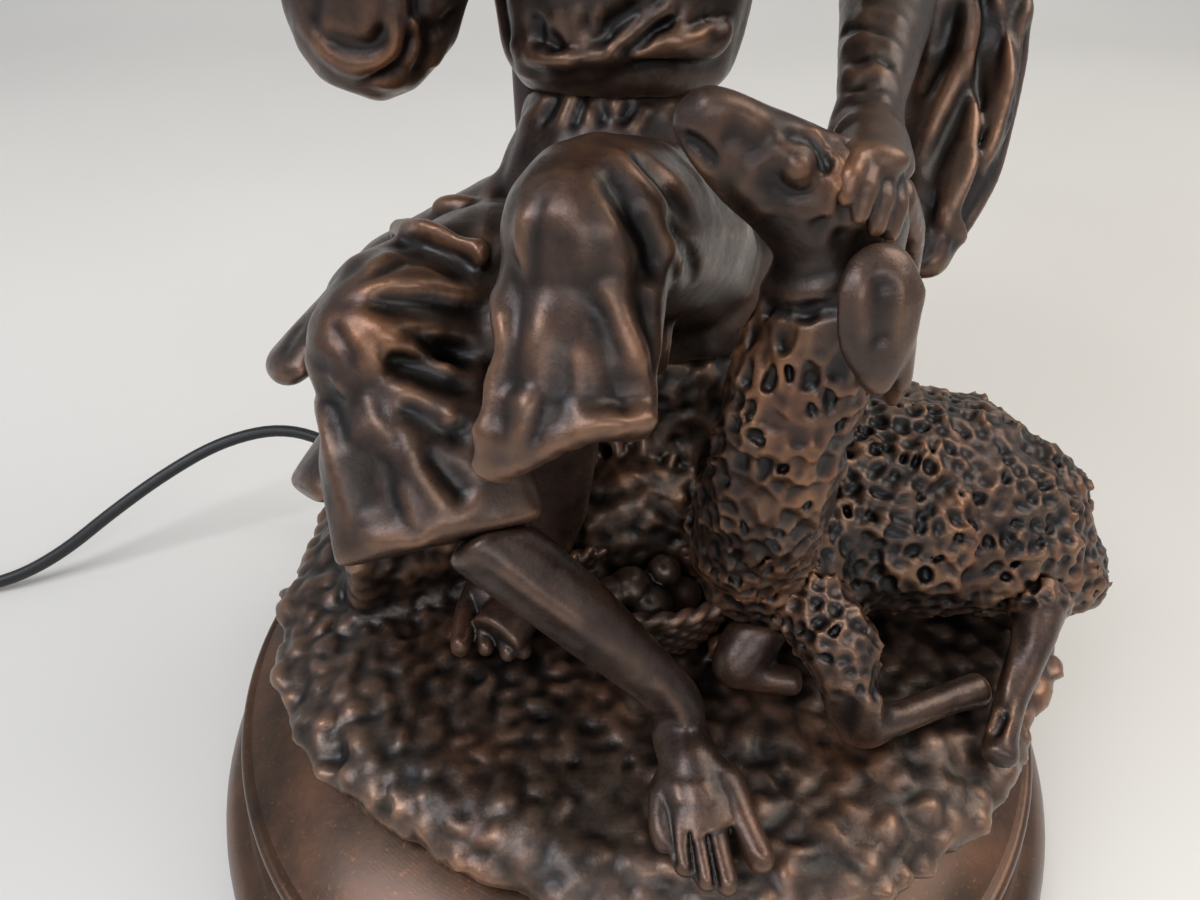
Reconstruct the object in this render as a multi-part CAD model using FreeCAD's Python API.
"""Figural table lamp: a seated woman and a resting sheep, cast with their rock, on a turned round foot.

Millimetres. +Z is up, the origin is the middle of the foot's underside, and the front is towards -Y.
The figures' places are given from the middle of the foot and from the crown of the foot, where the rock sits.
"""

import FreeCAD
import Part
import math
import os

V = FreeCAD.Vector
UP = V(0, 0, 1)
ACROSS = V(1, 0, 0)
FORE = V(0, -1, 0)
TO_PLUG = FORE                # the cord leaves its coil towards the front

# ---------------------------------------------------------------- turned foot
foot_radius = 138.0          # the widest part of the lower roll
felt_thick = 2.0
felt_inset = 12.0            # from the widest radius to the felt's edge
roll_height = 28.0           # from the felt to the top of the lower roll
quirk_depth = 9.0            # step from the roll's widest radius in to the cove
cove_height = 15.0           # from the roll to the bead
cove_inset = 15.5            # from the widest radius to the cove's throat
bead_radius = 2.2
bead_inset = 14.6            # from the widest radius to the bead's centre
band_height = 4.6            # from the bead's centre to the groove
band_inset = 17.2            # from the widest radius to the groove
crown_height = 62.0          # the flat seat of the rock, over the table
crown_flat_radius = 92.0
foot_wall = 6.0
plate_thick = 2.5
plate_radius = 118.0
plate_fit = 0.3              # radial room round the steel plate
plate_ledge = 5.0            # how far the plate's ledge stands in from the plate's edge
plate_boss_radius = 7.0
plate_boss_count = 3
plate_boss_circle = 100.0
screw_shank = 2.0            # radius of an M4 screw
screw_head_radius = 3.9
screw_head_thick = 2.2
screw_length = 10.0

# ---------------------------------------------------------------- rock
rim_underside = 3.0          # the overhanging edge's underside, over the crown
rock_rim = 8.0               # the top of the broken edge
rock_ground = 14.0           # the ground that the feet, the basket and the sheep rest on
seat_height = 86.0           # the seat
rock_wall = 7.0
rock_bolt_circle = 66.0
rock_bolt_count = 3
rock_bolt_radius = 2.5       # M5
rock_bolt_depth = 9.0        # thread length in the rock
washer_thick = 1.2
washer_radius = 6.0
bolt_head_radius = 4.2
bolt_head_thick = 3.5
pin_radius = 2.0             # dowels between the castings
pin_fit = 0.1
pin_depth = 7.0
sheep_pin_places = [(68.0, 4.0), (104.0, 4.0)]
seat_pin_x = -44.0
seat_pin_y = 46.0

# ---------------------------------------------------------------- pole and lampholder
pole_x = -29.0
pole_y = 80.0
pole_radius = 6.5
pole_boss_radius = 12.5      # cast boss on the rock that seats the pole
pole_boss_height = 34.0      # over the crown
pole_collar_radius = 10.5
pole_collar_height = 7.0
pole_length = 322.0          # the sleeve alone
tube_radius = 5.0            # M10 threaded tube
tube_bore = 3.6
tube_fit = 0.2
tube_below = 16.0            # how far the threaded tube hangs under the crown
tube_above = 16.0            # how far it stands over the pole's cap
nut_radius = 8.5
nut_thick = 4.0
cap_seat_radius = 11.0
cap_seat_height = 7.0
holder_radius = 19.8         # outside of the lampholder's threaded shell
holder_wall = 1.8
holder_cap_height = 20.0
holder_shell_height = 44.0
holder_flange_radius = 23.5
holder_flange_thick = 2.2
holder_flange_up = 12.0      # from the cap to the flange
insert_height = 22.0
insert_gap = 0.4
socket_radius = 13.4         # inside of the brass screw shell
socket_wall = 0.5
socket_height = 24.0
centre_contact_radius = 4.0
centre_contact_thick = 1.0
switch_bar_radius = 2.4
switch_button_radius = 3.8
switch_button_length = 5.0
switch_travel = 5.0
switch_down = 4.0            # from the cap's rim down to the push bar
switch_fit = 0.25
switch_gap = 0.4             # from a button to the cap when it is pushed in
shade_ring_radius = 27.0
shade_ring_height = 8.0
shade_ring_fit = 0.2

# ---------------------------------------------------------------- bulb
bulb_cap_radius = 13.1
bulb_cap_height = 25.0
bulb_glass_radius = 30.0
bulb_glass_height = 82.0
bulb_neck_radius = 13.6
bulb_wall = 1.0
bulb_stem_radius = 4.0
bulb_stem_height = 20.0
filament_radius = 0.9
filament_height = 34.0
filament_circle = 7.0
filament_count = 4

# ---------------------------------------------------------------- shade
shade_bottom_radius = 165.0
shade_top_radius = 104.0
shade_height = 205.0
shade_drop = 48.0            # from the fitter ring down to the lower hoop
shade_cover_thick = 1.0
hoop_radius = 1.6
spoke_radius = 1.5
cover_fit = 0.05             # room between the hoops and the cover
spoke_count = 3
fitter_outer_radius = 27.0
fitter_thick = 2.0
trim_height = 9.0
trim_thick = 1.2

# ---------------------------------------------------------------- cord
cord_radius = 2.7
exit_bearing = 135.0         # degrees from +X, seen from above
exit_height = 36.0
bush_radius = 6.5
bush_lip_radius = 9.0
bush_lip_thick = 2.5
bush_tail = 18.0             # tapered strain relief outside the foot
coil_x = -327.0
coil_y = 25.0
coil_radius = 44.0           # centre of the cord in the outermost turn
coil_quarters = 29           # quarter turns, in along the table and out again on top
climb_quarters = 3           # of them, from the lower layer to the upper one
coil_gap = 0.7               # between neighbouring turns
plug_length = 35.0
plug_width = 26.0
plug_thick = 13.0
plug_pin_radius = 2.0
plug_pin_length = 19.0
plug_pin_spacing = 17.5
plug_relief_length = 22.0
plug_relief_end = 5.0        # its radius where it joins the body
plug_corner = 4.0
tail_length = 38.0           # from the coil to the plug's relief
tail_run = 12.5              # straight at both ends of the tail
tail_drift = 2.0
lower_quarters = (coil_quarters - climb_quarters) // 2

# ---------------------------------------------------------------- figures
fruit_places = [(-8, -18, 9.5, 7.0), (6, -20, 10.5, 7.5), (14, -14, 11.0, 6.0), (0, -10, 10.0, 6.0),
                (-2, -20, 20.5, 6.5), (8, -13, 20.0, 5.5)]    # across, fore and aft, up, radius
waist_height = 150.0         # over the crown
neck_height = 240.0          # over the crown, where the head sits on the shoulders


def over(x, y, z):
    """A place on the figures: z counts from the crown of the foot."""
    return V(x, y, crown_height + z)


def turned(outline, x=0.0, y=0.0):
    """A solid of revolution about the upright line through x, y. The outline holds (radius, z) points;
    a triple (radius, z, "arc") is the middle of an arc between its neighbours."""
    edges, here, middle = [], None, None
    for item in list(outline) + [outline[0]]:
        point = V(item[0], 0, item[1])
        if len(item) == 3:
            middle = point
            continue
        if here is not None and (point - here).Length > 1e-6:
            run = Part.Arc(here, middle, point) if middle else Part.LineSegment(here, point)
            made = run.toShape()
            edges.append(made)
        here, middle = point, None
    solid = Part.Face(Part.Wire(edges)).revolve(V(0, 0, 0), UP, 360)
    solid.translate(V(x, y, 0))
    return solid


def rod(start, end, radius):
    axis = end - start
    return Part.makeCylinder(radius, axis.Length, start, axis)


def oval(centre, along, side, wide, deep, facets=12):
    """A closed outline of straight edges round centre: wide along side, deep across it, square to along."""
    across = along.cross(side).normalize()
    points = []
    for k in range(facets):
        turn = 2 * math.pi * k / facets
        points.append(centre + side * (wide * math.cos(turn)) + across * (deep * math.sin(turn)))
    return Part.makePolygon(points + [points[0]])


def limb(stations, hint=ACROSS, start="flat", end="flat"):
    """A solid through many-sided ovals. A station is (place, half width along hint, half depth across it).
    A round end gets two smaller ovals past it."""
    places = [s[0] for s in stations]
    rows = []
    last = len(places) - 1
    for k, (place, wide, deep) in enumerate(stations):
        along = (places[min(k + 1, last)] - places[max(k - 1, 0)]).normalize()
        rows.append([place, along, wide, deep])
    if start == "round":
        place, along, wide, deep = rows[0]
        least = min(wide, deep)
        rows = [[place - along * (least * 0.8), along, wide * 0.42, deep * 0.42],
                [place - along * (least * 0.45), along, wide * 0.8, deep * 0.8]] + rows
    if end == "round":
        place, along, wide, deep = rows[-1]
        least = min(wide, deep)
        rows = rows + [[place + along * (least * 0.45), along, wide * 0.8, deep * 0.8],
                       [place + along * (least * 0.8), along, wide * 0.42, deep * 0.42]]
    wires = []
    for place, along, wide, deep in rows:
        side = (hint - along * hint.dot(along)).normalize()
        wires.append(oval(place, along, side, wide, deep))
    return Part.makeLoft(wires, True, True)


def biggest(shape):
    """The largest solid of a cut or a joint, without the slivers."""
    return max(shape.Solids, key=lambda s: s.Volume)


def joined(*shapes):
    return biggest(shapes[0].fuse(list(shapes[1:])))


def without(shape, *tools):
    return biggest(shape.cut(list(tools)))


def ring_of(count, radius, first=90.0):
    """Places round the upright axis, evenly spaced."""
    return [V(radius * math.cos(math.radians(first + 360.0 * k / count)),
              radius * math.sin(math.radians(first + 360.0 * k / count)), 0) for k in range(count)]


# ---------------------------------------------------------------- turned foot and what closes it
throat_radius = foot_radius - cove_inset
crown_foot_radius = foot_radius - band_inset
bead_height = roll_height + cove_height + bead_radius + 1.5
groove_height = bead_height + band_height
crown_under = crown_height - foot_wall
plate_top = felt_thick + plate_thick
pad_under = crown_under - 8.0          # flat pad that the pole's nut draws against


def foot_boss(place, radius, base):
    """A round post inside the foot, from base up into the crown."""
    return Part.makeCylinder(radius, crown_under + 1.0 - base, V(place.x, place.y, base))


def foot_casting():
    roll = roll_height / 2.0
    roll_centre = foot_radius - roll
    toe = roll_centre + math.sqrt(roll ** 2 - (roll - felt_thick) ** 2)
    quirk = foot_radius - quirk_depth
    shoulder = roll + math.sqrt(roll ** 2 - (quirk - roll_centre) ** 2)
    bead_centre = foot_radius - bead_inset
    inside = throat_radius - foot_wall
    ledge = plate_radius - plate_ledge
    outline = [
        (plate_radius + plate_fit, felt_thick), (toe, felt_thick),
        (foot_radius, roll, "arc"), (quirk, shoulder), (quirk - 1.0, roll_height),
        (throat_radius, roll_height + 0.45 * cove_height, "arc"),
        (throat_radius + 2.0, roll_height + cove_height - 2.0),
        (bead_centre, roll_height + cove_height - 1.0), (bead_centre, bead_height - bead_radius),
        (bead_centre + bead_radius, bead_height, "arc"), (bead_centre, bead_height + bead_radius),
        (crown_foot_radius + 1.0, bead_height + bead_radius), (crown_foot_radius + 1.0, groove_height - 0.8),
        (crown_foot_radius - 0.6, groove_height), (crown_foot_radius, groove_height + 1.2),
        (0.5 * (crown_foot_radius + crown_flat_radius), crown_height - 3.2, "arc"),
        (crown_flat_radius, crown_height), (0.0, crown_height), (0.0, crown_under),
        (crown_flat_radius - foot_wall, crown_under), (ledge, groove_height - foot_wall),
        (ledge, plate_top), (plate_radius + plate_fit, plate_top)]
    shape = turned(outline)
    places = ring_of(plate_boss_count, plate_boss_circle)
    posts = [foot_boss(p, plate_boss_radius, plate_top) for p in places]
    pad = foot_boss(V(pole_x, pole_y, 0), nut_radius + 4.0, pad_under)
    shape = joined(shape, pad, *posts)
    drills = [Part.makeCylinder(screw_shank, screw_length + 1.0, V(p.x, p.y, felt_thick))
              for p in ring_of(plate_boss_count, plate_boss_circle)]
    drills += [Part.makeCylinder(rock_bolt_radius + 0.3, 40.0, V(p.x, p.y, crown_under - 20.0))
               for p in ring_of(rock_bolt_count, rock_bolt_circle, 270.0)]
    drills.append(Part.makeCylinder(tube_radius + tube_fit, 60.0, V(pole_x, pole_y, pad_under - 10.0)))
    drills.append(rod(cord_axis(inside - 8.0), cord_axis(foot_radius), bush_radius + 0.1))
    drills.append(rod(cord_axis(throat_radius + 0.6), cord_axis(foot_radius + 5.0), bush_lip_radius + 0.3))
    return without(shape, *drills)


def cord_axis(radius):
    """A place on the cord's way out through the foot."""
    turn = math.radians(exit_bearing)
    return V(radius * math.cos(turn), radius * math.sin(turn), exit_height)


def base_plate():
    shape = Part.makeCylinder(plate_radius, plate_thick, V(0, 0, felt_thick))
    holes = [Part.makeCylinder(screw_shank + 0.25, 10.0, V(p.x, p.y, 0))
             for p in ring_of(plate_boss_count, plate_boss_circle)]
    return without(shape, *holes)


def base_felt():
    shape = Part.makeCylinder(foot_radius - felt_inset, felt_thick)
    holes = [Part.makeCylinder(screw_head_radius + 1.0, 10.0, V(p.x, p.y, -1.0))
             for p in ring_of(plate_boss_count, plate_boss_circle)]
    return without(shape, *holes)


def plate_screws():
    made = []
    for p in ring_of(plate_boss_count, plate_boss_circle):
        low = felt_thick
        head = Part.makeCylinder(screw_head_radius, screw_head_thick * 0.7,
                                 V(p.x, p.y, low - screw_head_thick * 0.7))
        shank = Part.makeCylinder(screw_shank, screw_length, V(p.x, p.y, low))
        made.append(joined(head, shank))
    return Part.makeCompound(made)


def cord_bush():
    """Moulded bush in the cove, with a tapered tail round the cord's first stretch."""
    inner = throat_radius - foot_wall - 6.0
    lip = throat_radius + 0.6
    way = cord_axis(1.0) - cord_axis(0.0)
    body = rod(cord_axis(inner), cord_axis(lip + 1.0), bush_radius)
    flange = rod(cord_axis(lip), cord_axis(lip + bush_lip_thick), bush_lip_radius)
    tail = Part.makeCone(bush_radius - 0.8, cord_radius + 0.9, bush_tail, cord_axis(lip + bush_lip_thick),
                         way)
    return joined(body, flange, tail)


def bush_end():
    return throat_radius + 0.6 + bush_lip_thick + bush_tail


# ---------------------------------------------------------------- rock
rim_outline = [(131, -24), (127, 10), (113, 45), (93, 77), (60, 101), (18, 113), (-30, 113), (-70, 99),
               (-99, 76), (-115, 48), (-118, 20), (-116, -4), (-110, -31), (-96, -52), (-78, -71),
               (-52, -85),
               (-20, -98), (20, -104), (56, -97), (86, -81), (107, -61), (114, -49)]
mound_outlines = [
    (rock_ground - 4.0, [(48, 20), (46, 62), (24, 92), (-20, 100), (-64, 88), (-92, 52), (-98, 14),
                         (-86, -14),
                         (-46, 2), (-14, 7), (20, 6)]),
    (38.0, [(42, 22), (40, 60), (20, 86), (-18, 92), (-58, 80), (-84, 46), (-91, 12), (-84, -18),
            (-46, 4), (-12, 10), (20, 9)]),
    (62.0, [(41, 26), (38, 58), (20, 79), (-14, 82), (-48, 73), (-72, 46), (-80, 18), (-72, -4),
            (-42, 10), (-10, 13), (22, 12)]),
    (seat_height, [(38, 30), (34, 54), (18, 68), (-10, 71), (-38, 67), (-54, 48), (-58, 28), (-50, 13),
                   (-30, 14), (-8, 16), (20, 17)])]


def level(outline, height, share=1.0):
    """A closed outline of straight edges, height above the crown."""
    points = [over(x * share, y * share, height) for x, y in outline]
    return Part.makePolygon(points + [points[0]])


def seated(outline, most):
    """The outline drawn in to the radius that bears on the foot."""
    made = []
    for x, y in outline:
        share = min(1.0, most / math.hypot(x, y))
        made.append((x * share, y * share))
    return made


def rock_casting():
    bearing = seated(rim_outline, crown_flat_radius - 2.0)
    slab = Part.makeLoft([level(bearing, 0.0), level(rim_outline, rim_underside),
                          level(rim_outline, rock_rim, 0.985),
                          level(rim_outline, rock_ground, 0.88)], True, True)
    mound = Part.makeLoft([level(outline, height) for height, outline in mound_outlines], True, True)
    boss = Part.makeCylinder(pole_boss_radius, pole_boss_height, over(pole_x, pole_y, 0.0))
    shape = joined(slab, mound, boss)
    low = Part.Wire([Part.Circle(over(0.0, 34.0, -1.0), UP, 37.0).toShape()])
    high = Part.Wire([Part.Circle(over(-4.0, 42.0, seat_height - rock_wall), UP, 19.0).toShape()])
    cavity = Part.makeLoft([low, high], True, True)
    clear = Part.makeCylinder(pole_boss_radius + 0.3, 200.0, over(pole_x, pole_y, pole_boss_height))
    bore = Part.makeCylinder(tube_radius + tube_fit, 200.0, over(pole_x, pole_y, -1.0))
    drills = [Part.makeCylinder(rock_bolt_radius, rock_bolt_depth + 1.0, over(p.x, p.y, -1.0))
              for p in ring_of(rock_bolt_count, rock_bolt_circle, 270.0)]
    drills += [Part.makeCylinder(pin_radius + pin_fit, 2.0 * pin_depth, over(x, y, rock_ground - pin_depth))
               for x, y in sheep_pin_places]
    drills.append(Part.makeCylinder(pin_radius + pin_fit, 40.0,
                                    over(seat_pin_x, seat_pin_y, seat_height - pin_depth)))
    return without(shape, cavity, clear, bore, *drills)


def rock_bolts():
    made = []
    for p in ring_of(rock_bolt_count, rock_bolt_circle, 270.0):
        low = crown_under - washer_thick
        head = Part.makeCylinder(bolt_head_radius, bolt_head_thick, V(p.x, p.y, low - bolt_head_thick))
        shank = Part.makeCylinder(rock_bolt_radius, crown_height + rock_bolt_depth - 0.5 - low,
                                  V(p.x, p.y, low))
        made.append(joined(head, shank))
    return Part.makeCompound(made)


def washer(place, hole, outside, thick):
    shape = Part.makeCylinder(outside, thick, place)
    return without(shape, Part.makeCylinder(hole, thick + 2.0, place - V(0, 0, 1.0)))


def rock_washers():
    return Part.makeCompound([washer(V(p.x, p.y, crown_under - washer_thick), rock_bolt_radius + 0.3,
                                     washer_radius, washer_thick)
                              for p in ring_of(rock_bolt_count, rock_bolt_circle, 270.0)])


def pins(places, height, depth):
    """Upright dowels, half in each of the two castings that meet at height over the crown."""
    return Part.makeCompound([Part.makeCylinder(pin_radius, 2.0 * depth - 1.0,
                                                over(x, y, height - depth + 0.5))
                              for x, y in places])


# ---------------------------------------------------------------- the seated woman
def knee(x, y, z):
    """A place on the lap, carried by the seat."""
    return over(x, y, seat_height + z)


def waist(x, y, z):
    """A place on the trunk, counted from the waist."""
    return over(x, y, waist_height + z)


def crown_of_neck(x, y, z):
    return over(x, y, neck_height + z)


def ground(x, y, z):
    return over(x, y, rock_ground + z)


def skirt_casting(rock):
    hips = limb([(knee(-3, 42, -1), 50, 29), (knee(-3, 43, 26), 46, 30), (knee(-4, 49, 46), 34, 25),
                 (waist(-4, 54, -3), 27, 20), (waist(-4, 55, 0), 26, 20)])
    far_thigh = limb([(knee(-18, 40, 18), 24, 22), (knee(-40, 14, 26), 22, 21), (knee(-60, -8, 26), 20, 19),
                      (knee(-64, -16, 22), 17, 17)], end="round")
    far_drape = limb([(knee(-60, -6, 22), 18, 16), (knee(-53, -28, 8), 24, 14), (knee(-47, -46, -9), 26, 8)])
    near_thigh = limb([(knee(10, 40, 20), 27, 22), (knee(2, 6, 44), 24, 22), (knee(-11, -26, 58), 20, 19),
                       (knee(-14, -34, 60), 17, 17)], end="round")
    near_drape = limb([(knee(-12, -28, 58), 17, 15), (knee(-15, -50, 44), 17, 8),
                       (knee(-16, -60, 31), 17, 4)])
    lap = limb([(knee(-62, 2, 14), 20, 16), (knee(-30, 10, 24), 26, 18), (knee(6, 12, 22), 26, 17)], FORE)
    lobe = limb([(knee(-34, 44, 34), 16, 12), (knee(-68, 30, 23), 17, 9), (knee(-96, 8, 5), 13, 5)], FORE,
                end="round")
    rear_hem = limb([(knee(-54, 14, 4), 18, 11), (knee(-72, -6, -6), 17, 9), (knee(-86, -22, -14), 12, 4)],
                    FORE)
    shape = joined(hips, far_thigh, near_thigh, far_drape, near_drape, lap, lobe, rear_hem)
    low = Part.Wire([Part.Circle(knee(-2, 40, -1.2), UP, 22.0).toShape()])
    high = Part.Wire([Part.Circle(knee(-3, 48, 46), UP, 13.0).toShape()])
    hollow = Part.makeLoft([low, high], True, True)
    seat_pin = Part.makeCylinder(pin_radius + pin_fit, pin_depth + 1.0, knee(seat_pin_x, seat_pin_y, -1.0))
    waist_pin = Part.makeCylinder(pin_radius + pin_fit, 2.0 * pin_depth, waist(-4, 55, -pin_depth))
    return without(shape, rock, hollow, seat_pin, waist_pin)


def torso_casting(skirt):
    shape = limb([(waist(-4, 55, 0), 26, 20), (waist(-4, 54, 8), 31, 24), (waist(-3, 53, 26), 33, 25),
                  (waist(-1, 55, 56), 32, 22), (waist(0, 57, 74), 34, 19), (waist(0, 58, 84), 28, 15),
                  (crown_of_neck(0, 58, 0), 12, 11)])
    waist_pin = Part.makeCylinder(pin_radius + pin_fit, 2.0 * pin_depth, waist(-4, 55, -pin_depth))
    neck_pin = Part.makeCylinder(pin_radius + pin_fit, 2.0 * pin_depth, crown_of_neck(0, 58, -pin_depth))
    return without(shape, skirt, waist_pin, neck_pin)


def head_casting(torso):
    neck = limb([(crown_of_neck(0, 58, 0), 9.5, 10), (crown_of_neck(0, 56, 12), 9, 9.5),
                 (crown_of_neck(0, 53, 26), 9.5, 10)])
    skull = limb([(crown_of_neck(2, 47, 16), 7, 8), (crown_of_neck(2, 46, 22), 13, 14),
                  (crown_of_neck(1, 47, 34), 17, 21), (crown_of_neck(0, 49, 48), 18.5, 23.5),
                  (crown_of_neck(0, 50, 58), 16, 20), (crown_of_neck(0, 51, 66), 9, 12)])
    pin = Part.makeCylinder(pin_radius + pin_fit, 2.0 * pin_depth, crown_of_neck(0, 58, -pin_depth))
    return without(joined(neck, skull), torso, pin)


def hair_casting(head):
    cap = limb([(crown_of_neck(0, 62, 24), 10, 9), (crown_of_neck(0, 59, 36), 20, 18),
                (crown_of_neck(0, 55, 50), 21, 23), (crown_of_neck(0, 53, 62), 18.5, 22),
                (crown_of_neck(0, 52, 70), 11, 14)])
    bun = limb([(crown_of_neck(0, 70, 34), 7, 7), (crown_of_neck(0, 77, 38), 10, 9.5),
                (crown_of_neck(0, 83, 42), 7, 7)], end="round", start="round")
    return without(joined(cap, bun), head)


def right_arm_casting(torso, skirt):
    sleeve = limb([(waist(-26, 57, 78), 12, 12), (waist(-40, 55, 66), 16, 15), (waist(-54, 48, 44), 20, 18),
                   (waist(-65, 43, 24), 22, 19), (waist(-68, 41, 16), 19, 16)], end="round")
    forearm = limb([(waist(-66, 41, 22), 11, 10), (waist(-52, 33, 52), 9, 8.5), (waist(-37, 26, 80), 6, 5.5),
                    (waist(-29, 24, 92), 7.5, 4.5), (waist(-22, 24, 106), 7, 4)], end="round")
    return without(joined(sleeve, forearm), torso, skirt)


def left_arm_casting(torso, sheep_head):
    sleeve = limb([(waist(26, 57, 78), 12, 12), (waist(42, 55, 66), 15, 14), (waist(54, 53, 48), 14, 13),
                   (waist(60, 50, 34), 12, 12)], end="round")
    forearm = limb([(waist(60, 50, 36), 12, 12), (waist(54, 20, 24), 10.5, 10), (waist(44, -12, 14), 7, 6),
                    (waist(41, -22, 11), 8, 5), (waist(40, -36, 9), 8, 4)], end="round")
    return without(joined(sleeve, forearm), torso, sheep_head)


def shawl_casting(torso, arm, skirt):
    shape = limb([(waist(42, 72, 84), 16, 6), (waist(64, 68, 68), 17, 7), (waist(80, 56, 34), 18, 8),
                  (waist(85, 46, 8), 15, 8), (waist(77, 26, -12), 14, 8), (waist(67, 6, -28), 9, 5)],
                 end="round")
    return without(shape, torso, arm, skirt)


def right_leg_casting(skirt, rock):
    shin = limb([(knee(-49, -36, 0), 9, 9), (knee(-40, -42, -8), 10.5, 10.5),
                 (ground(-15, -49, 42), 9.5, 9.5),
                 (ground(9, -54, 16), 6.6, 6.6), (ground(11, -55, 9), 7, 8)])
    foot = limb([(ground(8, -53, 6.5), 7, 6.5), (ground(12, -68, 8), 8, 8), (ground(15, -82, 5), 11, 5.5),
                 (ground(17, -91, 3.5), 11.5, 3.5)], start="round", end="round")
    return without(joined(shin, foot), skirt, rock)


def left_leg_casting(skirt, rock, leg):
    shin = limb([(knee(-16, -28, 50), 10, 10), (knee(-20, -24, 12), 11, 11),
                 (ground(-23, -12, 44), 9.5, 9.5),
                 (ground(-25, -4, 22), 6.6, 6.6), (ground(-25, -2, 13), 7, 8)])
    foot = limb([(ground(-23, 0, 7), 7, 7), (ground(-32, -12, 9), 8, 8), (ground(-41, -25, 6), 10, 5.5),
                 (ground(-46, -33, 4), 9.5, 3.8)], start="round", end="round")
    return without(joined(shin, foot), skirt, rock, leg)


# ---------------------------------------------------------------- the sheep
def sheep_body_casting(rock):
    shape = limb([(ground(36, -2, 26), 22, 26), (ground(48, 4, 29), 33, 31), (ground(72, 9, 30), 38, 33),
                  (ground(99, 8, 27), 38, 31), (ground(118, 3, 20), 32, 26), (ground(129, -4, 11), 22, 15)],
                 FORE, start="round", end="round")
    chest = limb([(ground(52, -8, 26), 22, 24), (ground(34, -20, 32), 19, 22)], FORE, end="round")
    low = Part.Wire([Part.Ellipse(ground(84, 8, -1.0), 44.0, 24.0).toShape()])
    high = Part.Wire([Part.Ellipse(ground(84, 9, 46.0), 26.0, 15.0).toShape()])
    hollow = Part.makeLoft([low, high], True, True)
    drills = [Part.makeCylinder(pin_radius + pin_fit, 2.0 * pin_depth, ground(x, y, -pin_depth))
              for x, y in sheep_pin_places]
    below = Part.makeBox(400, 400, 60, ground(-200, -200, -60.0))
    return without(joined(shape, chest), below, hollow, rock, *drills)


def sheep_head_casting(body, skirt):
    neck = limb([(ground(30, -20, 38), 18, 18), (ground(29, -34, 66), 16, 16),
                 (ground(30, -40, 96), 14.5, 14.5),
                 (ground(36, -38, 124), 14, 14)], end="round")
    skull = limb([(ground(38, -35, 133), 12, 11.5), (ground(30, -37, 140), 12.5, 12.5),
                  (ground(18, -40, 149), 9, 9),
                  (ground(7, -41.5, 156), 6.3, 6.3)], start="round", end="round")
    return without(joined(neck, skull), body, skirt)


def sheep_ear(head, arm):
    shape = limb([(ground(39, -46, 137), 3.5, 5), (ground(44, -50, 126), 3.2, 7),
                  (ground(46, -52, 113), 2.6, 6.5),
                  (ground(46, -52, 105), 1.8, 3.5)], end="round")
    return without(shape, head, arm)


def sheep_far_ear(head, arm):
    shape = limb([(ground(48, -26, 138), 3.5, 5), (ground(55, -18, 128), 3.2, 7),
                  (ground(59, -14, 114), 2.2, 5)],
                 end="round")
    return without(shape, head, arm)


def sheep_foreleg_casting(body, head, rock):
    upper = limb([(ground(44, -30, 30), 11, 12), (ground(52, -46, 24), 9.5, 10),
                  (ground(55, -58, 11), 7, 7)],
                 end="round")
    cannon = limb([(ground(55, -58, 9), 6, 6), (ground(68, -54, 7), 4.6, 4.6),
                   (ground(82, -48, 6), 4.4, 4.4),
                   (ground(94, -44, 6), 5.2, 5.4)])
    return without(joined(upper, cannon), body, head, rock)


def sheep_folded_leg(body, rock, leg):
    upper = limb([(ground(40, -22, 24), 9, 9), (ground(33, -31, 15), 8.5, 8.5), (ground(26, -38, 8), 7, 7)],
                 end="round")
    cannon = limb([(ground(26, -38, 7), 5.5, 5.5), (ground(36, -40, 5.5), 4.6, 4.6),
                   (ground(45, -41, 5), 4.8, 4.8)])
    return without(joined(upper, cannon), body, rock, leg)


def sheep_hind_leg(body, rock, foreleg):
    shape = limb([(ground(112, -24, 22), 9, 10), (ground(106, -38, 18), 5.5, 6),
                  (ground(98, -50, 9), 4.4, 4.6),
                  (ground(93, -59, 5.5), 4.4, 4.4), (ground(90, -66, 4.5), 5.6, 4.4)])
    return without(shape, body, rock, foreleg)


# ---------------------------------------------------------------- basket
def basket_shell(rock, sheep, leg):
    outside = limb([(ground(4, -16, -0.5), 20, 12), (ground(3, -17, 10), 25, 15),
                    (ground(2, -19, 22), 27, 16)])
    inside = limb([(ground(4, -16, 3.0), 17, 9.5), (ground(3, -17, 11), 22.5, 12.5),
                   (ground(2, -19, 23), 24.5, 13.5)])
    below = Part.makeBox(400, 400, 60, ground(-200, -200, -60.0))
    return without(outside, inside, rock, below, sheep, leg)


def basket_fruit(basket, leg, neck):
    """Fruit heaped in the basket, each on the basket's floor or on the fruit under it."""
    made = []
    for x, y, z, radius in fruit_places:
        fruit = Part.makeSphere(radius, ground(x, y, z))
        made.append(without(fruit, basket, leg, neck, *made))
    return Part.makeCompound(made)


# ---------------------------------------------------------------- pole and lampholder
pole_base = crown_height + pole_boss_height
pole_top = pole_base + pole_length
holder_base = pole_top + cap_seat_height
shell_base = holder_base + holder_cap_height
flange_top = shell_base + holder_flange_up + holder_flange_thick
insert_base = shell_base + 1.0
insert_top = insert_base + insert_height
contact_top = insert_top + centre_contact_thick
bulb_base = contact_top
glass_base = bulb_base + bulb_cap_height
hoop_height = flange_top + fitter_thick / 2.0 - shade_drop


def tube_of(radius, bore, low, high):
    shape = Part.makeCylinder(radius, high - low, V(pole_x, pole_y, low))
    return without(shape, Part.makeCylinder(bore, high - low + 2.0, V(pole_x, pole_y, low - 1.0)))


def on_pole(outline):
    """A turned piece on the pole's axis."""
    return turned(outline, pole_x, pole_y)


def lamp_pole():
    return tube_of(pole_radius, tube_radius + tube_fit, pole_base, pole_top)


def threaded_tube():
    return tube_of(tube_radius, tube_bore, crown_height - tube_below, pole_top + tube_above)


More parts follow.
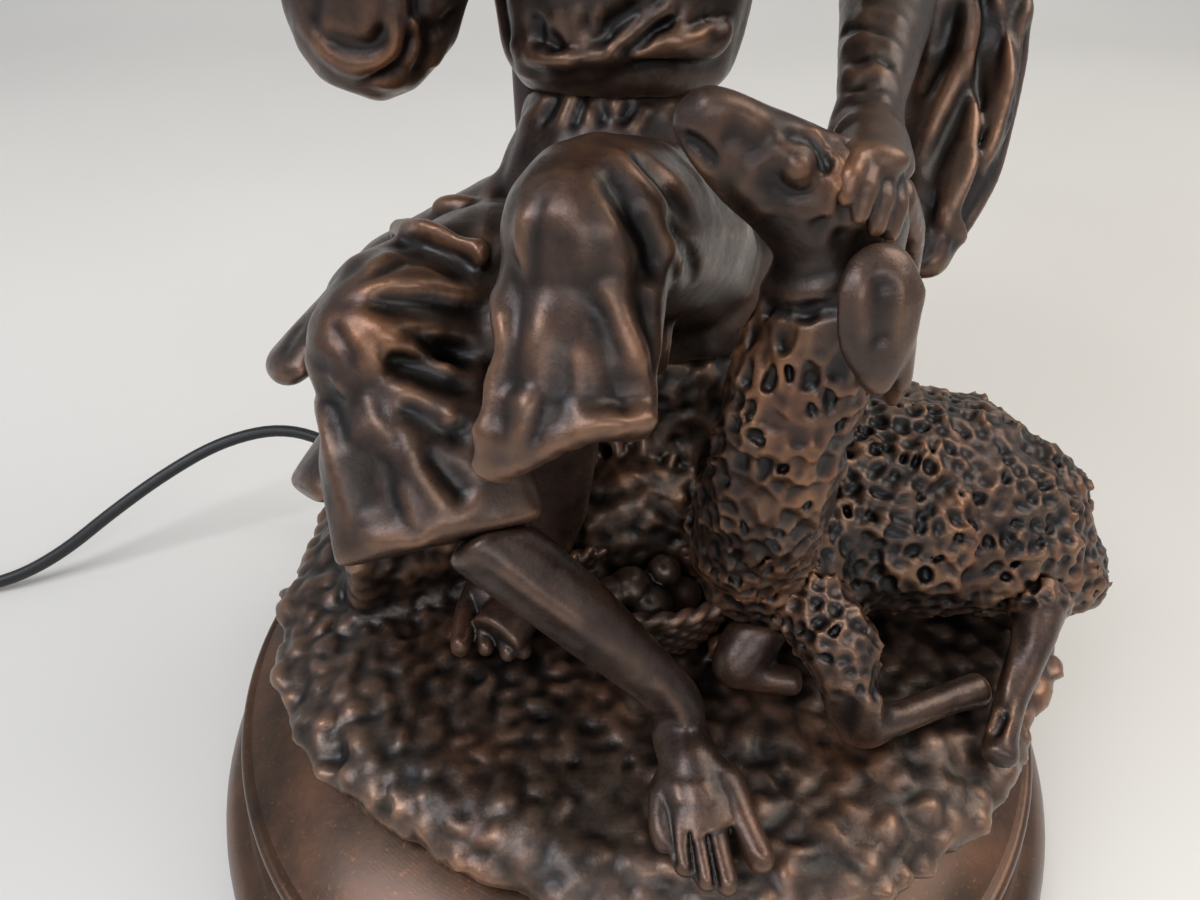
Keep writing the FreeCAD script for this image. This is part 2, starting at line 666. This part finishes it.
def pole_collar():
    bore = pole_radius + tube_fit
    low = pole_base
    return on_pole([(bore, low), (pole_boss_radius - 0.5, low), (pole_boss_radius - 0.5, low + 1.5),
                    (pole_collar_radius, low + 2.2), (pole_radius + 2.6, low + pole_collar_height - 1.6),
                    (pole_radius + 2.6, low + pole_collar_height), (bore, low + pole_collar_height)])


def pole_washer():
    return washer(V(pole_x, pole_y, pad_under - washer_thick), tube_radius + tube_fit, nut_radius + 2.5,
                  washer_thick)


def hex_nut(place, hole, across_corners, thick):
    points = [place + V(across_corners * math.cos(math.radians(60 * k)),
                        across_corners * math.sin(math.radians(60 * k)), 0)
              for k in range(6)]
    shape = Part.Face(Part.makePolygon(points + [points[0]])).extrude(V(0, 0, thick))
    return without(shape, Part.makeCylinder(hole, thick + 2.0, place - V(0, 0, 1.0)))


def pole_nut():
    return hex_nut(V(pole_x, pole_y, pad_under - washer_thick - nut_thick), tube_radius + tube_fit,
                   nut_radius, nut_thick)


def pole_cap():
    bore = tube_radius + tube_fit
    low = pole_top
    return on_pole([(bore, low), (pole_radius + 1.5, low), (cap_seat_radius, low + 0.55 * cap_seat_height),
                    (cap_seat_radius, low + 0.75 * cap_seat_height),
                    (cap_seat_radius - 2.5, low + cap_seat_height),
                    (bore, low + cap_seat_height)])


def holder_cap():
    """Domed lower half of the lampholder; the push bar passes through it from side to side."""
    low, high, wall = holder_base, holder_base + holder_cap_height, holder_wall
    neck = tube_radius + tube_fit
    shape = on_pole([(neck, low), (neck + 4.5, low), (neck + 4.5, low + 2.5),
                     (holder_radius - 3.0, low + 7.0, "arc"),
                     (holder_radius, low + 13.0), (holder_radius, high), (holder_radius - wall, high),
                     (holder_radius - wall, low + 13.5), (holder_radius - 5.5, low + 8.5, "arc"),
                     (neck + 4.0, low + 5.0), (neck, low + 5.0)])
    way = rod(switch_axis(-40.0), switch_axis(40.0), switch_bar_radius + switch_fit)
    return without(shape, way)


def switch_axis(along):
    """A place on the push bar's axis, along X through the lampholder's cap."""
    return V(pole_x + along, pole_y, holder_base + holder_cap_height - switch_down)


def switch_bar():
    """Push bar with a button on each end; it slides from side to side."""
    right = holder_radius + switch_gap
    left = right + switch_travel
    bar = rod(switch_axis(-left - 1.0), switch_axis(right + 1.0), switch_bar_radius)
    shown = rod(switch_axis(-left - switch_button_length), switch_axis(-left), switch_button_radius)
    pressed = rod(switch_axis(right), switch_axis(right + switch_button_length), switch_button_radius)
    return joined(bar, shown, pressed)


def holder_shell():
    low, high = shell_base, shell_base + holder_shell_height
    inner = holder_radius - holder_wall
    flange = low + holder_flange_up
    return on_pole([(inner, low), (holder_radius, low), (holder_radius, flange),
                    (holder_flange_radius, flange),
                    (holder_flange_radius, flange + holder_flange_thick),
                    (holder_radius, flange + holder_flange_thick),
                    (holder_radius, high), (inner - 1.5, high), (inner - 1.5, high - 1.5),
                    (inner, high - 1.5)])


def holder_insert():
    """Porcelain insert on the cap's rim inside the shell."""
    shape = Part.makeCylinder(holder_radius - holder_wall - insert_gap, insert_height,
                              V(pole_x, pole_y, insert_base))
    ledge = Part.makeCylinder(holder_radius - holder_wall - 0.1, 1.0, V(pole_x, pole_y, shell_base))
    slots = [Part.makeCylinder(3.0, insert_height - 3.0, V(pole_x, pole_y + side * 11.0, insert_base - 3.0))
             for side in (-1, 1)]
    return without(joined(shape, ledge), *slots)


def screw_shell():
    """Brass thread that takes the bulb, open at both ends."""
    return tube_of(socket_radius + socket_wall, socket_radius, insert_top, insert_top + socket_height)


def centre_contact():
    return Part.makeCylinder(centre_contact_radius, centre_contact_thick, V(pole_x, pole_y, insert_top))


def terminals():
    made = []
    for side in (-1, 1):
        place = V(pole_x, pole_y + side * 11.0, insert_base + insert_height - 6.0 - 8.0)
        made.append(Part.makeCylinder(2.8, 8.0, place))
    return Part.makeCompound(made)


def shade_ring():
    bore = holder_radius + shade_ring_fit
    low = flange_top + fitter_thick
    return on_pole([(bore, low), (shade_ring_radius, low), (shade_ring_radius, low + 2.5),
                    (bore + 2.5, low + shade_ring_height), (bore, low + shade_ring_height)])


# ---------------------------------------------------------------- bulb
def bulb_cap():
    low = bulb_base
    return on_pole([(0.0, low), (4.5, low), (bulb_cap_radius - 4.0, low + 3.0),
                    (bulb_cap_radius - 0.8, low + 5.5),
                    (bulb_cap_radius - 0.8, low + bulb_cap_height), (0.0, low + bulb_cap_height)])


def bulb_glass():
    """Pear-shaped envelope, hollow, sealed to its cap."""
    low, wall = glass_base, bulb_wall
    centre = low + bulb_glass_height - bulb_glass_radius
    neck = bulb_neck_radius
    turn = math.radians(20.0)
    side = bulb_glass_radius * math.cos(turn)
    down = centre - bulb_glass_radius * math.sin(turn)
    thin = (bulb_glass_radius - wall) / bulb_glass_radius
    return on_pole([(neck - wall, low), (neck, low), (neck, low + 4.0), (neck + 5.0, low + 21.0, "arc"),
                    (side, down),
                    (bulb_glass_radius * math.cos(math.radians(35.0)),
                     centre + bulb_glass_radius * math.sin(math.radians(35.0)), "arc"),
                    (0.0, centre + bulb_glass_radius), (0.0, centre + bulb_glass_radius * thin),
                    ((bulb_glass_radius - wall) * math.cos(math.radians(35.0)),
                     centre + (bulb_glass_radius - wall) * math.sin(math.radians(35.0)), "arc"),
                    (side - wall, down), (neck + 5.0 - wall, low + 21.5, "arc"), (neck - wall, low + 4.0)])


def bulb_stem():
    """Glass stem and four upright filament sticks."""
    low = glass_base
    stem = Part.makeCone(bulb_stem_radius + 2.0, bulb_stem_radius, bulb_stem_height, V(pole_x, pole_y, low))
    plate = Part.makeCylinder(filament_circle + 1.5, 1.2, V(pole_x, pole_y, low + bulb_stem_height))
    return joined(stem, plate)


def filaments():
    low = glass_base + bulb_stem_height + 1.2
    return Part.makeCompound([Part.makeCylinder(filament_radius, filament_height,
                                                V(pole_x + p.x, pole_y + p.y, low))
                              for p in ring_of(filament_count, filament_circle, 45.0)])


# ---------------------------------------------------------------- shade
def hoop(radius, height):
    return Part.makeTorus(radius, hoop_radius, V(pole_x, pole_y, height))


def shade_fitter():
    """Flat ring clamped on the lampholder, spokes down to the lower hoop."""
    low = flange_top
    ring = on_pole([(holder_radius + shade_ring_fit, low), (fitter_outer_radius, low),
                    (fitter_outer_radius, low + fitter_thick),
                    (holder_radius + shade_ring_fit, low + fitter_thick)])
    middle = low + fitter_thick - spoke_radius - 0.2
    shapes = [ring]
    for p in ring_of(spoke_count, 1.0):
        start = V(pole_x + p.x * (fitter_outer_radius - 1.0), pole_y + p.y * (fitter_outer_radius - 1.0),
                  middle)
        end = V(pole_x + p.x * shade_bottom_radius, pole_y + p.y * shade_bottom_radius, hoop_height)
        shapes.append(rod(start, end, spoke_radius))
    return joined(hoop(shade_bottom_radius, hoop_height), *shapes)


def shade_slope(height):
    """Radius of the cover's inside at a height over the lower hoop."""
    lean = math.atan2(shade_bottom_radius - shade_top_radius, shade_height)
    narrowing = (shade_bottom_radius - shade_top_radius) * height / shade_height
    return shade_bottom_radius + hoop_radius / math.cos(lean) + cover_fit - narrowing


def shade_cover():
    low, high = -trim_height / 2.0, shade_height + trim_height / 2.0
    t = shade_cover_thick
    return on_pole([(shade_slope(low), hoop_height + low), (shade_slope(low) + t, hoop_height + low),
                    (shade_slope(high) + t, hoop_height + high), (shade_slope(high), hoop_height + high)])


def shade_trim(height):
    low, high, t = height - trim_height / 2.0, height + trim_height / 2.0, shade_cover_thick
    return on_pole([(shade_slope(low) + t, hoop_height + low),
                    (shade_slope(low) + t + trim_thick, hoop_height + low),
                    (shade_slope(high) + t + trim_thick, hoop_height + high),
                    (shade_slope(high) + t, hoop_height + high)])


# ---------------------------------------------------------------- cord
def bend_radii(points):
    """At each inner point of a route: the turn, and the radius its two runs allow."""
    made = []
    for before, at, after in zip(points, points[1:], points[2:]):
        inward, outward = at - before, after - at
        turn = inward.getAngle(outward)
        made.append((turn, 0.45 * min(inward.Length, outward.Length) / math.tan(turn / 2.0)))
    return made


def route_wire(points):
    """Straight runs joined by tangent arcs."""
    edges, here = [], points[0]
    for at, after, (turn, radius) in zip(points[1:], points[2:], bend_radii(points)):
        inward, outward = (at - here).normalize(), (after - at).normalize()
        back = radius * math.tan(turn / 2.0)
        start, end = at - inward * back, at + outward * back
        bisector = (outward - inward).normalize()
        middle = at + bisector * (radius / math.cos(turn / 2.0) - radius)
        edges.append(Part.LineSegment(here, start).toShape())
        edges.append(Part.Arc(start, middle, end).toShape())
        here = end
    edges.append(Part.LineSegment(here, points[-1]).toShape())
    return Part.Wire(edges)


def pipe(wire, radius):
    """A round tube along a wire."""
    start = wire.Edges[0]
    place = start.valueAt(start.FirstParameter)
    way = start.tangentAt(start.FirstParameter)
    section = Part.Wire([Part.Circle(place, way, radius).toShape()])
    return wire.makePipeShell([section], True, False)


def cord_tube(name, points, radius):
    wire = route_wire(points)
    shape = pipe(wire, radius)
    exact = math.pi * radius ** 2 * wire.Length
    radii = ", ".join("%.0f" % r for _, r in bend_radii(points))
    print("%s: length %.0f, volume over section times length %.4f, bend radii %s"
          % (name, wire.Length, shape.Volume / exact, radii))
    return shape


def free_route():
    """From the tail of the bush, out behind the foot, down on to the table and off to the coil."""
    coil_top = coil_y + coil_radius
    return [cord_axis(bush_end()), cord_axis(bush_end() + 16.0), V(-130, 122, 41), V(-154, 127, 48),
            V(-180, 120, 46),
            V(-204, 108, 37), V(-227, 95, 25), V(-248, 83, 12), V(-269, 74, 4.4),
            V(-294, coil_top, cord_radius),
            V(coil_x + 2.0 * cord_radius, coil_top, cord_radius)]


def inner_route():
    """Inside the foot, from the bush to the threaded tube and up it to the lampholder."""
    start = cord_axis(throat_radius - foot_wall - 6.0)
    return [start, cord_axis(throat_radius - foot_wall - 20.0), V(-56, 66, 32), V(-42, 72, 30),
            V(pole_x, pole_y, 22.0),
            V(pole_x, pole_y, holder_base + 8.0)]


def coil_place(turn, layer_climb):
    """A place on the coil's centre line; turn counts quarter turns from the outer end of the lower layer."""
    pitch = 2.0 * cord_radius + coil_gap
    radius = coil_radius - pitch * min(turn, coil_quarters - turn) / 4.0
    rise = min(max((turn - lower_quarters) / climb_quarters, 0.0), 1.0)
    angle = math.pi / 2.0 * (1.0 + turn)
    return V(coil_x + radius * math.cos(angle), coil_y + radius * math.sin(angle),
             cord_radius + rise * layer_climb)


def biarc(start, way_in, end, way_out):
    """Two tangent arcs from start to end with the given headings."""
    v, t = end - start, way_in + way_out
    k = 2.0 * (1.0 - way_in.dot(way_out))
    d = (-v.dot(t) + math.sqrt(v.dot(t) ** 2 + k * v.dot(v))) / k
    joint = (start + end + (way_in - way_out) * d) * 0.5
    return [tangent_arc(start, way_in, joint), tangent_arc(end, way_out * -1.0, joint)]


def tangent_arc(start, way, end):
    chord = end - start
    along = V(chord).normalize()
    off = way - along * way.dot(along)
    half = way.getAngle(along)
    middle = (start + end) * 0.5 + off.normalize() * (chord.Length / 2.0 * math.tan(half / 2.0))
    return Part.Arc(start, middle, end).toShape()


def coil_wire():
    climb = 2.0 * cord_radius + coil_gap
    last = coil_quarters
    step = 0.01
    places = [coil_place(k, climb) for k in range(last + 1)]
    ways = []
    for k in range(last + 1):
        ways.append((coil_place(k + step, climb) - coil_place(k - step, climb)).normalize())
    ways[0] = V(-1, 0, 0)
    ways[last] = TO_PLUG
    for k in (lower_quarters, lower_quarters + climb_quarters):
        ways[k] = V(ways[k].x, ways[k].y, 0).normalize()
    straight = 2.0 * cord_radius
    edges = [Part.LineSegment(places[0] - ways[0] * straight, places[0]).toShape()]
    for k in range(last):
        edges += biarc(places[k], ways[k], places[k + 1], ways[k + 1])
    edges.append(Part.LineSegment(places[last], places[last] + ways[last] * straight).toShape())
    return Part.Wire(Part.__sortEdges__(edges))


def cord_coil():
    wire = coil_wire()
    shape = pipe(wire, cord_radius)
    points = wire.discretize(Distance=2.0)
    apart = 4.0 * cord_radius
    least = min((a - b).Length for i, a in enumerate(points) for b in points[i + int(apart / 2.0) + 1:])
    print("cord_coil: length %.0f, volume over section times length %.4f, least gap to itself %.2f"
          % (wire.Length, shape.Volume / (math.pi * cord_radius ** 2 * wire.Length),
             least - 2.0 * cord_radius))
    return shape


def coil_end():
    return V(coil_x - coil_radius, coil_y, 3.0 * cord_radius + coil_gap) + TO_PLUG * (2.0 * cord_radius)


def plug_start():
    down = V(0, 0, coil_end().z - plug_thick / 2.0)
    return coil_end() + TO_PLUG * tail_length - down - V(tail_drift, 0, 0)


def tail_route():
    end = plug_start()
    return [coil_end(), coil_end() + TO_PLUG * tail_run, end - TO_PLUG * tail_run, end]


def plug_body():
    start = plug_start()
    relief = Part.makeCone(cord_radius + 0.8, plug_relief_end, plug_relief_length, start, TO_PLUG)
    low = V(start.x - plug_width / 2.0, start.y - plug_relief_length - plug_length,
            start.z - plug_thick / 2.0)
    block = Part.makeBox(plug_width, plug_length, plug_thick, low)
    upright = [e for e in block.Edges if abs(e.tangentAt(0).z) > 0.9]
    block = block.makeFillet(plug_corner, upright)
    return joined(block, relief)


def plug_pins():
    face = plug_start() + TO_PLUG * (plug_relief_length + plug_length)
    made = []
    for side in (-1, 1):
        root = face + V(side * plug_pin_spacing / 2.0, 0, 0)
        made.append(rod(root, root + TO_PLUG * plug_pin_length, plug_pin_radius))
    return Part.makeCompound(made)


# ---------------------------------------------------------------- every piece, one file each
def build():
    rock = rock_casting()
    skirt = skirt_casting(rock)
    torso = torso_casting(skirt)
    head = head_casting(torso)
    body = sheep_body_casting(rock)
    sheep_head = sheep_head_casting(body, skirt)
    left_arm = left_arm_casting(torso, sheep_head)
    right_leg = right_leg_casting(skirt, rock)
    foreleg = sheep_foreleg_casting(body, sheep_head, rock)
    basket = basket_shell(rock, body, right_leg)
    nodes = {
        "foot_casting": foot_casting(), "base_plate": base_plate(), "base_felt": base_felt(),
        "plate_screws": plate_screws(), "cord_bush": cord_bush(),
        "rock_casting": rock, "rock_bolts": rock_bolts(), "rock_bolt_washers": rock_washers(),
        "skirt_casting": skirt, "torso_casting": torso, "head_casting": head,
             "hair_casting": hair_casting(head),
        "right_arm": right_arm_casting(torso, skirt), "left_arm": left_arm,
        "shawl": shawl_casting(torso, left_arm, skirt),
        "right_leg": right_leg, "left_leg": left_leg_casting(skirt, rock, right_leg),
        "seat_dowel": pins([(seat_pin_x, seat_pin_y)], seat_height, pin_depth),
        "waist_dowel": pins([(-4, 55)], waist_height, pin_depth),
        "neck_dowel": pins([(0, 58)], neck_height, pin_depth),
        "sheep_body": body, "sheep_head": sheep_head, "sheep_near_ear": sheep_ear(sheep_head, left_arm),
        "sheep_far_ear": sheep_far_ear(sheep_head, left_arm), "sheep_foreleg": foreleg,
        "sheep_folded_foreleg": sheep_folded_leg(body, rock, foreleg),
        "sheep_hind_leg": sheep_hind_leg(body, rock, foreleg),
             "sheep_dowels": pins(sheep_pin_places, rock_ground, pin_depth),
        "fruit_basket": basket, "basket_fruit": basket_fruit(basket, right_leg, sheep_head),
        "lamp_pole": lamp_pole(), "pole_collar": pole_collar(), "threaded_tube": threaded_tube(),
        "pole_washer": pole_washer(), "pole_nut": pole_nut(), "pole_cap": pole_cap(),
        "holder_cap": holder_cap(), "switch_bar": switch_bar(), "holder_shell": holder_shell(),
        "holder_insert": holder_insert(), "screw_shell": screw_shell(), "centre_contact": centre_contact(),
        "terminals": terminals(), "shade_ring": shade_ring(),
        "bulb_cap": bulb_cap(), "bulb_glass": bulb_glass(), "bulb_stem": bulb_stem(),
             "filaments": filaments(),
        "shade_fitter": shade_fitter(), "shade_top_hoop": hoop(shade_top_radius, hoop_height + shade_height),
        "shade_cover": shade_cover(), "shade_lower_trim": shade_trim(0.0),
             "shade_upper_trim": shade_trim(shade_height),
        "cord_free": cord_tube("cord_free", free_route(), cord_radius), "cord_coil": cord_coil(),
        "cord_tail": cord_tube("cord_tail", tail_route(), cord_radius),
        "inner_cord": cord_tube("inner_cord", inner_route(), 2.6),
        "plug_body": plug_body(), "plug_pins": plug_pins()}
    return nodes


def main():
    os.makedirs("parts", exist_ok=True)
    for name, shape in build().items():
        shape.exportStep("parts/" + name + ".step")


main()
